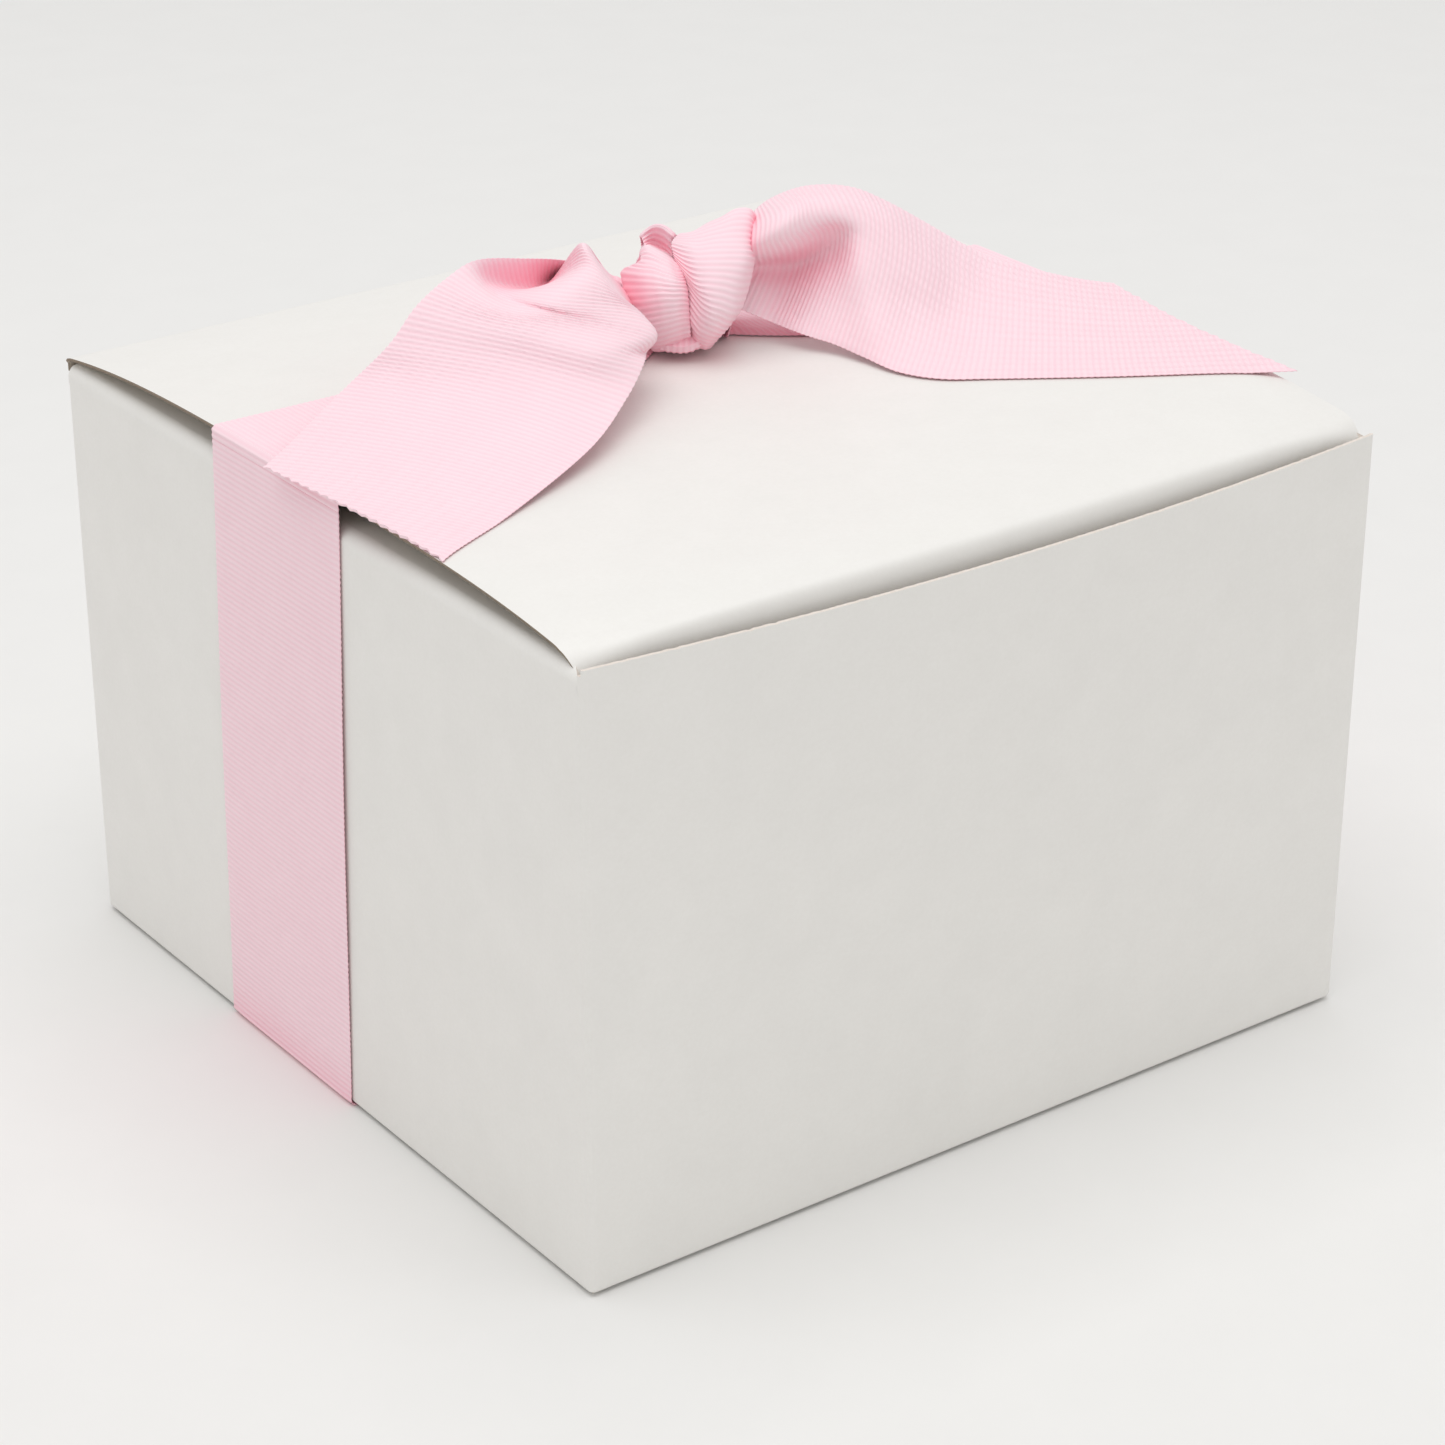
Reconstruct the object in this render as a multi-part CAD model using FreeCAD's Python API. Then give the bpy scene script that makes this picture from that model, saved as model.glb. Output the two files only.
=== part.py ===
import FreeCAD, Part
import math
import os
from FreeCAD import Vector

# Gift box, all sizes in millimetres
# A six by six by four inch tuck-top carton folded from one sheet of coated board.
# One length of ribbon goes once round it and is knotted on the lid.
# The origin is on the table under the middle of the box, the front faces -Y and +Z is up.

# Carton board and outside sizes
box_width = 152.4
box_depth = 152.4
wall_height = 102.4
board = 0.6
front_bow = 4.5

# Creases: every flap turns on a round bead that is one board thick
crease_gap = 0.2
lid_over_dust = 0.4
flap_inset = 0.3

# Lid and tuck flap
lid_crown = 3.6
roll_radius = 3.6
front_gap = 0.5
roll_side_gap = 0.5
tuck_depth = 22.0
tuck_lean = 14.0
tuck_side_gap = 1.2
tuck_taper = 4.0
tuck_corner = 7.0

# Dust flaps
dust_depth = 55.0
dust_rear_gap = 3.0
dust_rear_slope = 0.6
dust_front_gap = 5.0
dust_front_slope = 0.12

# Glued side seam
glue_tab_width = 16.0
glue_tab_slope = 6.0

# Locking bottom, three boards thick
layer_gap = 0.1
bottom_gap = 0.1
rear_flap_reach = 88.0
lock_overlap = 7.0
side_flap_reach = 50.0
bottom_flap_slope = 14.0
tongue_width = 40.0
tongue_ramp = 12.0
tongue_length = 8.0
slot_clear = 1.2

# Ribbon
ribbon_width = 38.0
ribbon_thick = 0.5
ribbon_seat = 0.05
ribbon_seam = 0.3
ribbon_lip = 2.1
band_y = 9.0
band_lean = 2.5

# Knot on the lid
knot_x = 9.0
knot_y = 15.0
knot_yaw = -36.0
knot_radius = 12.0
knot_left_drop = 1.0
knot_waist = 9.0
knot_end = 8.0
knot_half = 11.0
knot_bore = 5.0
knot_gap = 0.3
knot_gather = 0.5
core_reach = 3.0

# Places worked out from the sizes above
half_w = box_width / 2
half_d = box_depth / 2
base_z = ribbon_thick
wall_top = base_z + wall_height
half_board = board / 2

# Rear crease of the lid
hinge_y = half_d - half_board
hinge_z = wall_top + crease_gap + half_board

# Side creases of the dust flaps
dust_x = half_w - flap_inset - half_board
dust_z = hinge_z - board - lid_over_dust
side_top = dust_z - half_board - crease_gap

# Lid arch: a circle through the rear crease and the foremost line of the front roll
roll_front_y = -half_d + board + front_gap + half_board
arch_y = (hinge_y + roll_front_y) / 2
arch_half = (hinge_y - roll_front_y) / 2
arch_radius = (arch_half ** 2 + lid_crown ** 2) / (2 * lid_crown)
arch_z = hinge_z + lid_crown - arch_radius

# Front roll: a small circle that lies inside the arch and touches it
roll_y = roll_front_y + roll_radius
roll_z = arch_z + math.sqrt((arch_radius - roll_radius) ** 2 - (roll_y - arch_y) ** 2)
lean = math.radians(tuck_lean)
roll_end_y = roll_y - roll_radius * math.cos(lean)
roll_end_z = roll_z - roll_radius * math.sin(lean)

# Crease of the tuck flap, just past the end of the roll
tuck_y = roll_end_y + (crease_gap + half_board) * math.sin(lean)
tuck_z = roll_end_z - (crease_gap + half_board) * math.cos(lean)

# Top face of the lid as a circle about the arch centre
lid_face = arch_radius + half_board

# Levels of the three bottom layers
layer_1 = base_z
layer_2 = layer_1 + board + layer_gap
layer_3 = layer_2 + board + layer_gap
layer_4 = layer_3 + board + layer_gap
bottom_w = half_w - board - bottom_gap
bottom_d = half_d - board - bottom_gap
ramp_y = bottom_d - rear_flap_reach + lock_overlap


# Height of the lid's top face at a given place front to back
def lid_top(y):
    return arch_z + math.sqrt(lid_face ** 2 - (y - arch_y) ** 2)


# Straight prism from a flat outline, pushed along a direction
def prism(points, push):
    outline = Part.makePolygon(points + [points[0]])
    return Part.Face(outline).extrude(push)


# Outline in plan pushed up between two levels
def plan_prism(points, z0, z1):
    corners = [Vector(x, y, z0) for x, y in points]
    return prism(corners, Vector(0, 0, z1 - z0))


# Arc through three points
def arc(a, b, c):
    return Part.Arc(a, b, c).toShape()


# Solid cylinder lying along X about the arch centre
def arch_cylinder(radius, x0, x1):
    return Part.makeCylinder(radius, x1 - x0, Vector(x0, arch_y, arch_z), Vector(1, 0, 0))


# Curved layer that lies on the lid between two radii
def arch_layer(r0, r1, x0, x1):
    return arch_cylinder(r1, x0, x1).cut(arch_cylinder(r0, x0, x1))


# Front wall: flat at the foot, bowed outward along its free top edge
def make_front_panel():
    def outline(z, bow):
        a = Vector(-half_w, -half_d, z)
        b = Vector(half_w, -half_d, z)
        c = Vector(half_w - board, -half_d + board, z)
        d = Vector(-half_w + board, -half_d + board, z)
        outer = arc(a, Vector(0, -half_d - bow, z), b)
        inner = arc(c, Vector(0, -half_d + board - bow, z), d)
        return Part.Wire([outer, Part.makeLine(b, c), inner, Part.makeLine(d, a)])
    foot = outline(base_z, front_bow / 100)
    top = outline(wall_top, front_bow)
    return Part.makeLoft([foot, top], True, True)


# Rear wall with mitred ends
def make_rear_panel():
    points = [(-half_w, half_d), (half_w, half_d)]
    points += [(half_w - board, half_d - board), (-half_w + board, half_d - board)]
    return plan_prism(points, base_z, wall_top)


# Side wall with mitred ends, lower than the rear wall so its dust flap lies under the lid
def make_side_panel(side):
    x0 = side * half_w
    x1 = side * (half_w - board)
    points = [(x0, -half_d), (x0, half_d), (x1, half_d - board), (x1, -half_d + board)]
    return plan_prism(points, base_z, side_top)


# Glue tab: turned in from the left wall and glued to the inside of the rear wall
def make_glue_tab():
    x0 = -half_w + board
    x1 = x0 + glue_tab_width
    z0 = layer_4 + board + tongue_length / 4
    z1 = dust_z - tongue_length / 4
    y0 = half_d - 2 * board
    outline = [(x0, z0), (x1, z0 + glue_tab_slope), (x1, z1 - glue_tab_slope), (x0, z1)]
    return prism([Vector(x, y0, z) for x, z in outline], Vector(0, board, 0))


# Rear bottom flap: the inmost layer, with the slot for the locking tongue
def make_bottom_rear_flap():
    y0 = bottom_d - rear_flap_reach
    cut = bottom_w - bottom_flap_slope
    points = [(-bottom_w, bottom_d), (bottom_w, bottom_d), (bottom_w, 0)]
    points += [(cut, y0), (-cut, y0), (-bottom_w, 0)]
    flap = plan_prism(points, layer_3, layer_3 + board)
    lift = layer_4 - layer_1
    y1 = ramp_y + tongue_ramp * (layer_3 - layer_1 - board) / lift - slot_clear
    y2 = ramp_y + tongue_ramp * (layer_3 + board - layer_1) / lift + slot_clear
    half = tongue_width / 2 + slot_clear
    slot = Part.makeBox(2 * half, y2 - y1, 3 * board, Vector(-half, y1, layer_3 - board))
    return flap.cut(slot)


# Side bottom flap: the middle layer, cut back toward its free edge
def make_bottom_side_flap(side):
    x0 = side * bottom_w
    x1 = side * (bottom_w - side_flap_reach)
    y1 = bottom_d - bottom_flap_slope
    points = [(x0, -bottom_d), (x0, bottom_d), (x1, y1), (x1, -y1)]
    return plan_prism(points, layer_2, layer_2 + board)


# Front bottom flap: the outer layer, with a tongue that climbs through the slot
def make_bottom_front_flap():
    y1 = ramp_y
    y2 = y1 + tongue_ramp
    y3 = y2 + tongue_length
    cut = bottom_w - bottom_flap_slope
    half = tongue_width / 2
    points = [(-bottom_w, -bottom_d), (bottom_w, -bottom_d), (cut, y1), (-cut, y1)]
    flap = plan_prism(points, layer_1, layer_1 + board)
    side_view = [(y1, layer_1), (y2, layer_4), (y3, layer_4)]
    side_view += [(y3, layer_4 + board), (y2, layer_4 + board), (y1, layer_1 + board)]
    tongue = prism([Vector(-half, y, z) for y, z in side_view], Vector(2 * half, 0, 0))
    return flap.fuse(tongue).removeSplitter()


# Lid: a gently crowned sheet from the rear bead to the front roll
def make_lid_panel():
    centre = Vector(0, arch_y, arch_z)
    hinge = Vector(0, hinge_y, hinge_z)
    roll = Vector(0, roll_y, roll_z)
    r_out = arch_radius + half_board
    r_in = arch_radius - half_board
    s_out = roll_radius + half_board
    s_in = roll_radius - half_board
    out_rear = (hinge - centre).normalize()
    out_front = (roll - centre).normalize()
    out_end = Vector(0, -math.cos(lean), -math.sin(lean))
    out_nose = (out_front + out_end).normalize()
    up = Vector(0, 0, 1)
    back = Vector(0, out_rear.z, -out_rear.y)
    slant_up = (out_rear + back).normalize() * half_board
    slant_down = (back - out_rear).normalize() * half_board
    a = centre + out_rear * r_out
    b = centre + out_front * r_out
    c = roll + out_end * s_out
    d = roll + out_end * s_in
    e = roll + out_front * s_in
    f = centre + out_rear * r_in
    tip = hinge + back * half_board
    edges = [arc(a, centre + up * r_out, b), arc(b, roll + out_nose * s_out, c)]
    edges += [Part.makeLine(c, d), arc(d, roll + out_nose * s_in, e)]
    edges += [arc(e, centre + up * r_in, f)]
    edges += [arc(f, hinge + slant_down, tip), arc(tip, hinge + slant_up, a)]
    section = Part.Face(Part.Wire(edges))
    x0 = -half_w + flap_inset
    section.translate(Vector(x0, 0, 0))
    sheet = section.extrude(Vector(-2 * x0, 0, 0))
    for side in (-1, 1):
        x1 = side * (half_w - board - roll_side_gap)
        x2 = side * box_width
        y1 = roll_y + board
        points = [(x1, -box_depth), (x2, -box_depth), (x2, y1), (x1, y1)]
        sheet = sheet.cut(plan_prism(points, 0, hinge_z + box_width))
    return sheet


# Edge-on outline of a flap: a half-round bead at the crease, then a flat sheet
def flap_section(reach):
    h = half_board
    q = h * math.sqrt(0.5)
    top = Vector(0, 0, h)
    nose = Vector(-h, 0, 0)
    low = Vector(0, 0, -h)
    far_low = Vector(reach, 0, -h)
    far_top = Vector(reach, 0, h)
    edges = [arc(top, Vector(-q, 0, q), nose), arc(nose, Vector(-q, 0, -q), low)]
    edges += [Part.makeLine(low, far_low), Part.makeLine(far_low, far_top), Part.makeLine(far_top, top)]
    return Part.Face(Part.Wire(edges))


# Tuck flap: made flat along +X, then stood on end and hung from the front crease
def make_tuck_flap():
    half = half_w - board - tuck_side_gap
    sheet = flap_section(tuck_depth)
    sheet.translate(Vector(0, -half, 0))
    sheet = sheet.extrude(Vector(0, 2 * half, 0))
    tip = half - tuck_taper
    r = tuck_corner
    q = r * (1 - math.sqrt(0.5))
    a = Vector(-board, -half, -board)
    b = Vector(tuck_depth - r, -tip, -board)
    c = Vector(tuck_depth, -tip + r, -board)
    d = Vector(tuck_depth, tip - r, -board)
    e = Vector(tuck_depth - r, tip, -board)
    f = Vector(-board, half, -board)
    edges = [Part.makeLine(a, b), arc(b, Vector(tuck_depth - q, -tip + q, -board), c)]
    edges += [Part.makeLine(c, d), arc(d, Vector(tuck_depth - q, tip - q, -board), e)]
    edges += [Part.makeLine(e, f), Part.makeLine(f, a)]
    flap = sheet.common(Part.Face(Part.Wire(edges)).extrude(Vector(0, 0, 2 * board)))
    flap.rotate(Vector(0, 0, 0), Vector(0, 0, 1), -90)
    flap.rotate(Vector(0, 0, 0), Vector(1, 0, 0), 90 + tuck_lean)
    flap.translate(Vector(0, tuck_y, tuck_z))
    return flap


# Dust flap of the left wall: cut back at the rear so it can rise ahead of the lid
def make_left_dust_flap():
    y_front = -half_d + board + front_gap + dust_front_gap
    y_rear = half_d - board - dust_rear_gap
    sheet = flap_section(dust_depth)
    sheet.translate(Vector(0, y_front, 0))
    sheet = sheet.extrude(Vector(0, y_rear - y_front, 0))
    end_front = y_front + dust_front_slope * dust_depth
    end_rear = y_rear - dust_rear_slope * dust_depth
    points = [(-board, y_front), (0, y_front), (dust_depth, end_front)]
    points += [(dust_depth, end_rear), (0, y_rear), (-board, y_rear)]
    flap = sheet.common(plan_prism(points, -board, board))
    flap.translate(Vector(-dust_x, 0, dust_z))
    return flap


# Dust flap of the right wall: the mirror image of the left one
def make_right_dust_flap():
    return make_left_dust_flap().mirror(Vector(0, 0, 0), Vector(1, 0, 0))


# Ribbon under the box: the strip the box stands on
def make_ribbon_bottom():
    y0 = band_y - ribbon_width / 2
    return Part.makeBox(box_width, ribbon_width, ribbon_thick, Vector(-half_w, y0, 0))


# Ribbon up one side wall, leaning slightly, stopping under the lip of the lid ribbon
def make_ribbon_side(side):
    x0 = side * half_w
    z1 = lid_top(0) + ribbon_lip
    y0 = band_y - ribbon_width / 2
    y1 = y0 - band_lean
    outline = [(y0, 0), (y0 + ribbon_width, 0), (y1 + ribbon_width, z1), (y1, z1)]
    strip = prism([Vector(x0, y, z) for y, z in outline], Vector(side * ribbon_thick, 0, 0))
    below = arch_cylinder(lid_face - ribbon_lip - ribbon_seam, -box_width, box_width)
    return strip.common(below)


# Ribbon across half of the lid: a lip over the lid's edge, then a strip gathered toward the knot
def make_ribbon_on_lid(side):
    edge = side * (half_w + ribbon_thick)
    end = knot_x + side * ribbon_seat
    y0 = band_y - band_lean - ribbon_width / 2
    y1 = y0 + ribbon_width
    pinch = knot_gather * ribbon_width / 2
    corner = side * half_w
    points = [(edge, y0), (corner, y0), (end, knot_y - pinch)]
    points += [(end, knot_y + pinch), (corner, y1), (edge, y1)]
    low = hinge_z - box_width
    high = lid_top(0) + box_width
    r0 = lid_face + ribbon_seat
    layer = arch_layer(r0, r0 + ribbon_thick, -box_width, box_width)
    strip = plan_prism(points, low, high).common(layer)
    lip_points = [(edge, y0), (corner, y0), (corner, y1), (edge, y1)]
    lip_layer = arch_layer(lid_face - ribbon_lip, r0 + ribbon_thick, -box_width, box_width)
    lip = plan_prism(lip_points, low, high).common(lip_layer)
    return strip.fuse(lip).removeSplitter()


# Middle and axis of the knot
knot_z = lid_top(knot_y) + ribbon_seat + ribbon_thick + knot_gap + knot_radius
knot_centre = Vector(knot_x, knot_y, knot_z)
left_radius = knot_radius - knot_left_drop
yaw = math.radians(knot_yaw)
knot_axis = Vector(math.cos(yaw), math.sin(yaw), 0)


# One turn of the knot: a rounded band about the knot's axis, between two places along it
def make_turn(a0, a1, r_start, r_middle, r_end):
    def at(along, out):
        return knot_centre + knot_axis * along + Vector(0, 0, out)
    middle = (a0 + a1) / 2
    edges = [Part.makeLine(at(a0, knot_bore), at(a0, r_start))]
    edges += [arc(at(a0, r_start), at(middle, r_middle), at(a1, r_end))]
    edges += [Part.makeLine(at(a1, r_end), at(a1, knot_bore))]
    edges += [Part.makeLine(at(a1, knot_bore), at(a0, knot_bore))]
    face = Part.Face(Part.Wire(edges))
    return face.revolve(knot_centre, knot_axis, 360)


# Heart of the knot: the gathered ribbon that runs through both turns
def make_knot_core():
    reach = knot_half + core_reach
    radius = knot_bore - knot_gap
    start = knot_centre - knot_axis * reach
    return Part.makeCylinder(radius, 2 * reach, start, knot_axis)


# Cross-section of a tail: an arched strip given by its middle, heading, tilt, spread and rise
def tail_section(station, side):
    along, aside, height, heading, tilt, spread, rise, thick = station
    turn = math.radians(heading)
    lift = math.radians(tilt)
    across = Vector(math.cos(turn) * math.cos(lift), math.sin(turn) * math.cos(lift), math.sin(lift))
    level = Vector(-math.sin(turn), math.cos(turn), 0)
    up = across.cross(level)
    if up.z < 0:
        up = up * -1
    start = knot_centre + knot_axis * (side * (knot_half + core_reach))
    y = start.y + aside * ribbon_width
    middle = Vector(start.x + along * ribbon_width, y, lid_top(y) + height * ribbon_width)
    half = across * (spread * ribbon_width / 2)
    near = middle - half
    far = middle + half
    crest = middle + up * (rise * ribbon_width)
    sink = up * -thick
    top = arc(near, crest, far)
    under = arc(far + sink, crest + sink, near + sink)
    edges = [top, Part.makeLine(far, far + sink), under, Part.makeLine(near + sink, near)]
    return Part.Wire(edges)


# Tail: ruled from section to section
def make_tail(stations, side):
    return Part.makeLoft([tail_section(s, side) for s in stations], True, True)


# Left tail: rises from the knot, turns over and lies down toward the left edge of the lid
# Each row: along and aside from the end of the core, height over the lid, heading, tilt,
# spread, rise and thickness
# All but the two angles and the thickness are in ribbon widths
left_stations = [
    (-0.11, 0.03, 0.33, 95, 38, 0.26, 0.02, 4 * ribbon_thick),
    (-0.17, -0.13, 0.36, 110, 20, 0.50, 0.16, ribbon_thick),
    (-0.41, -0.25, 0.37, 127, 16, 0.82, 0.12, ribbon_thick),
    (-0.73, -0.43, 0.30, 138, 11, 0.96, 0.07, ribbon_thick),
    (-1.07, -0.64, 0.20, 127, 7, 1.0, 0.03, ribbon_thick),
    (-1.38, -0.80, 0.11, 117, 4, 1.0, 0.01, ribbon_thick),
    (-1.88, -0.98, 0.04, 92, 1, 1.25, 0.005, ribbon_thick),
]

# Right tail: stands up beside the knot, then lies down toward the front right corner
right_stations = [
    (0.04, 0.01, 0.30, 58, 60, 0.30, 0.02, 4 * ribbon_thick),
    (0.20, -0.02, 0.34, 52, 39, 0.77, 0.12, ribbon_thick),
    (0.38, -0.28, 0.28, 55, 28, 0.98, 0.04, ribbon_thick),
    (0.73, -0.54, 0.17, 59, 16, 0.98, 0.03, ribbon_thick),
    (1.08, -0.78, 0.10, 72, 7, 1.0, 0.01, ribbon_thick),
    (1.49, -1.00, 0.06, 92, 2, 1.19, 0.005, ribbon_thick),
]


# Every separate piece by name
pieces = {
    "front_panel": make_front_panel(),
    "rear_panel": make_rear_panel(),
    "left_panel": make_side_panel(-1),
    "right_panel": make_side_panel(1),
    "glue_tab": make_glue_tab(),
    "bottom_rear_flap": make_bottom_rear_flap(),
    "bottom_left_flap": make_bottom_side_flap(-1),
    "bottom_right_flap": make_bottom_side_flap(1),
    "bottom_front_flap": make_bottom_front_flap(),
    "lid_panel": make_lid_panel(),
    "tuck_flap": make_tuck_flap(),
    "left_dust_flap": make_left_dust_flap(),
    "right_dust_flap": make_right_dust_flap(),
    "ribbon_bottom_span": make_ribbon_bottom(),
    "ribbon_left_span": make_ribbon_side(-1),
    "ribbon_right_span": make_ribbon_side(1),
    "ribbon_lid_left_span": make_ribbon_on_lid(-1),
    "ribbon_lid_right_span": make_ribbon_on_lid(1),
    "knot_left_turn": make_turn(-knot_half, -knot_gap / 2, knot_end, left_radius, knot_waist),
    "knot_right_turn": make_turn(knot_gap / 2, knot_half, knot_waist, knot_radius, knot_end),
    "knot_core": make_knot_core(),
    "ribbon_left_tail": make_tail(left_stations, -1),
    "ribbon_right_tail": make_tail(right_stations, 1),
}

os.makedirs("parts", exist_ok=True)
for name, shape in pieces.items():
    shape.exportStep("parts/" + name + ".step")
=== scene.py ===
import bpy
import math
import numpy as np
from mathutils import Matrix


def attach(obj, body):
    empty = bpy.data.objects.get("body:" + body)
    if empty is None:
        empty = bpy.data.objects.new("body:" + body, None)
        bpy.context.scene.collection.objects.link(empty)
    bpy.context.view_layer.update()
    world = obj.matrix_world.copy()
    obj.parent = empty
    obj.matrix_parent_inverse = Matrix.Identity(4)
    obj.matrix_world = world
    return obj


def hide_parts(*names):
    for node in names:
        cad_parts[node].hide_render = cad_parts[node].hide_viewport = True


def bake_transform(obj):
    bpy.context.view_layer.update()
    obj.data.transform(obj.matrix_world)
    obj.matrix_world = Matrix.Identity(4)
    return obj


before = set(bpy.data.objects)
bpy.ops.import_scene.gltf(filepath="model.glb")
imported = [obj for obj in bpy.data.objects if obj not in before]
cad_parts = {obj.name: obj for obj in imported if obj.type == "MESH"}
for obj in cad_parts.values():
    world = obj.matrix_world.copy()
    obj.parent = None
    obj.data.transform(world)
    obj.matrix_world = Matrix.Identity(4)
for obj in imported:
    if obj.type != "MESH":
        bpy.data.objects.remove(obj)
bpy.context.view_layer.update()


# Carton walls: the four panels of one blank of clay-coated carton board, creased and folded into
# a square tube. The left panel's seam tab is glued behind the rear panel at the rear left corner.
# The tucked lid springs against the front panel and bows its free top edge outward.
half = 76.2                 # mm, half the stock six inch carton
foot = 0.5                  # mm, the carton stands on the ribbon under it
wall_top = 102.9            # mm, the front panel's free edge
board = 0.6                 # mm, thickness
corner = 0.95               # outer radius of a pressed crease
bow = 4.5                   # outward bow of the front panel's free edge
side_joint = 99.4           # the side walls' top folds are made with the dust flaps above this
rear_joint = 101.2          # the rear wall's top crease is made as its own strip above this


def linear(hexcode):
    """An sRGB hex value as the linear colour that a shader socket takes."""
    values = [int(hexcode[i:i + 2], 16) / 255 for i in (1, 3, 5)]
    return tuple(c / 12.92 if c <= 0.04045 else ((c + 0.055) / 1.055) ** 2.4 for c in values) + (1.0,)


def add(tree, kind, feeds=None, **settings):
    """A node with its settings, its inputs fed by a value or by another node's output."""
    node = tree.nodes.new(kind)
    for key, value in settings.items():
        setattr(node, key, value)
    for key, value in (feeds or {}).items():
        if isinstance(value, bpy.types.NodeSocket):
            tree.links.new(value, node.inputs[key])
        else:
            node.inputs[key].default_value = value
    return node


def finish_of(name):
    """An empty material, and the tree that its nodes go into."""
    material = bpy.data.materials.new(name)
    material.use_nodes = True
    material.node_tree.nodes.clear()
    return material, material.node_tree


# Clay-coated white board, calendered: a smooth semi-matt face with a soft gloss, a faint cloudiness
# where the coating lies thinner over the fibres, and a very fine pigment grain.
coated_board, tree = finish_of("clay_coated_board_calendered")
place = add(tree, "ShaderNodeTexCoord")
cloud = add(tree, "ShaderNodeTexNoise", {"Vector": place.outputs["Object"], "Scale": 1000 / 9,
            "Detail": 4.0, "Roughness": 0.6})
fibre = add(tree, "ShaderNodeTexNoise", {"Vector": place.outputs["Object"], "Scale": 1000 / 0.7,
            "Detail": 3.0, "Roughness": 0.6})
tint = add(tree, "ShaderNodeMix", {"Factor": cloud.outputs["Fac"], "A": linear("#F1EFEB"),
           "B": linear("#EAE8E4")}, data_type="RGBA")
tone = add(tree, "ShaderNodeMapRange", {"Value": fibre.outputs["Fac"], "From Min": 0.3, "From Max": 0.7,
           "To Min": 0.0, "To Max": 0.10})
colour = add(tree, "ShaderNodeMix", {"Factor": tone.outputs["Result"], "A": tint.outputs["Result"],
             "B": linear("#D9D4CC")}, data_type="RGBA")
gloss = add(tree, "ShaderNodeMapRange", {"Value": cloud.outputs["Fac"], "From Min": 0.3, "From Max": 0.7,
            "To Min": 0.40, "To Max": 0.50})
rise = add(tree, "ShaderNodeMath", {0: fibre.outputs["Fac"], 1: cloud.outputs["Fac"]}, operation="ADD")
grain = add(tree, "ShaderNodeBump", {"Height": rise.outputs["Value"], "Strength": 0.12, "Distance": 0.00003})
skin = add(tree, "ShaderNodeBsdfPrincipled", {"Base Color": colour.outputs["Result"],
           "Roughness": gloss.outputs["Result"], "IOR": 1.5, "Normal": grain.outputs["Normal"]})
add(tree, "ShaderNodeOutputMaterial", {"Surface": skin.outputs["BSDF"]})

# Uncoated back of the same board: grey recycled fibre, matt, with darker and paler flecks.
board_back, tree = finish_of("recycled_board_back_uncoated")
place = add(tree, "ShaderNodeTexCoord")
stretch = add(tree, "ShaderNodeMapping", {"Vector": place.outputs["Object"], "Scale": (1.0, 0.35, 1.0)})
fleck = add(tree, "ShaderNodeTexNoise", {"Vector": stretch.outputs["Vector"], "Scale": 1000 / 1.1,
            "Detail": 6.0, "Roughness": 0.7})
blotch = add(tree, "ShaderNodeTexNoise", {"Vector": place.outputs["Object"], "Scale": 1000 / 14,
             "Detail": 3.0})
base = add(tree, "ShaderNodeMix", {"Factor": blotch.outputs["Fac"], "A": linear("#CDC4B8"),
           "B": linear("#BDB2A4")}, data_type="RGBA")
spot = add(tree, "ShaderNodeMapRange", {"Value": fleck.outputs["Fac"], "From Min": 0.52, "From Max": 0.75,
           "To Min": 0.0, "To Max": 0.6})
colour = add(tree, "ShaderNodeMix", {"Factor": spot.outputs["Result"], "A": base.outputs["Result"],
             "B": linear("#8E8273")}, data_type="RGBA")
grain = add(tree, "ShaderNodeBump", {"Height": fleck.outputs["Fac"], "Strength": 0.4, "Distance": 0.00005})
skin = add(tree, "ShaderNodeBsdfPrincipled", {"Base Color": colour.outputs["Result"], "Roughness": 0.88,
           "IOR": 1.45, "Normal": grain.outputs["Normal"]})
add(tree, "ShaderNodeOutputMaterial", {"Surface": skin.outputs["BSDF"]})

# Die-cut edge of the board: the pale fibre core shows, rough and a little ragged, between two skins.
cut_edge, tree = finish_of("die_cut_board_edge_raw")
place = add(tree, "ShaderNodeTexCoord")
fray = add(tree, "ShaderNodeTexNoise", {"Vector": place.outputs["Object"], "Scale": 1000 / 0.6,
           "Detail": 5.0, "Roughness": 0.75})
colour = add(tree, "ShaderNodeMix", {"Factor": fray.outputs["Fac"], "A": linear("#F2EAE3"),
             "B": linear("#D2C7BC")}, data_type="RGBA")
grain = add(tree, "ShaderNodeBump", {"Height": fray.outputs["Fac"], "Strength": 0.6, "Distance": 0.00006})
skin = add(tree, "ShaderNodeBsdfPrincipled", {"Base Color": colour.outputs["Result"], "Roughness": 0.9,
           "IOR": 1.45, "Normal": grain.outputs["Normal"]})
add(tree, "ShaderNodeOutputMaterial", {"Surface": skin.outputs["BSDF"]})

# The same die-cut edge round the lid and along its crease, darker grey-brown: partly the grey-brown fibre
# core, partly painted shade for the shadowed gap that the lid's edge lies over.
grey_core_and_shade_edge = cut_edge.copy()
grey_core_and_shade_edge.name = "die_cut_board_edge_grey_core_painted_shade"
for node in grey_core_and_shade_edge.node_tree.nodes:
    if node.bl_idname == "ShaderNodeMix":
        # darker edge colours: the fibre core's grey-brown with painted shade added
        node.inputs["A"].default_value = linear("#A29382")
        node.inputs["B"].default_value = linear("#6C5D50")


sharp_fold = 38             # degrees, a fold tighter than this shows as an edge


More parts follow.
